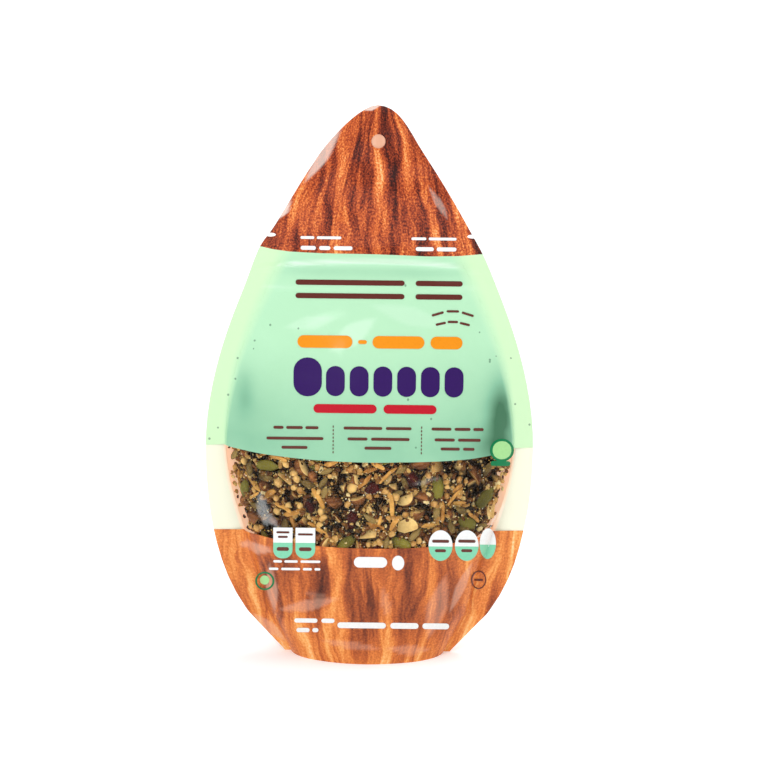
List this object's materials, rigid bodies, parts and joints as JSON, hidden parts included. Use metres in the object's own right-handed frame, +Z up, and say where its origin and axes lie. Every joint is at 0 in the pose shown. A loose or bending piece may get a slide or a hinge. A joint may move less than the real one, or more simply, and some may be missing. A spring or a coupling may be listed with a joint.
{
  "type": "stand-up pouch of granola",
  "caption": "Shut stand-up pouch with an almond-shaped outline, a clear window over granola, side seals, a zip below the header, tear notches and a gusseted foot.",
  "frame": {"origin": "on the floor, in the middle of the foot", "axes": "+Z up from the foot to the crown, +X along the width, -Y out of the front with the window, so Y is the depth"},
  "size_m": [0.1652, 0.0526, 0.28],
  "materials": {
    "printed_film": "glossy printed film, mint green with brown above the zip and below the window",
    "clear_film": "clear glossy film",
    "granola": "rough baked clusters of nuts and seeds"
  },
  "bodies": {
    "root": {"pouch": "printed_film", "window_film": "clear_film", "granola": "granola"}
  },
  "joints": []
}
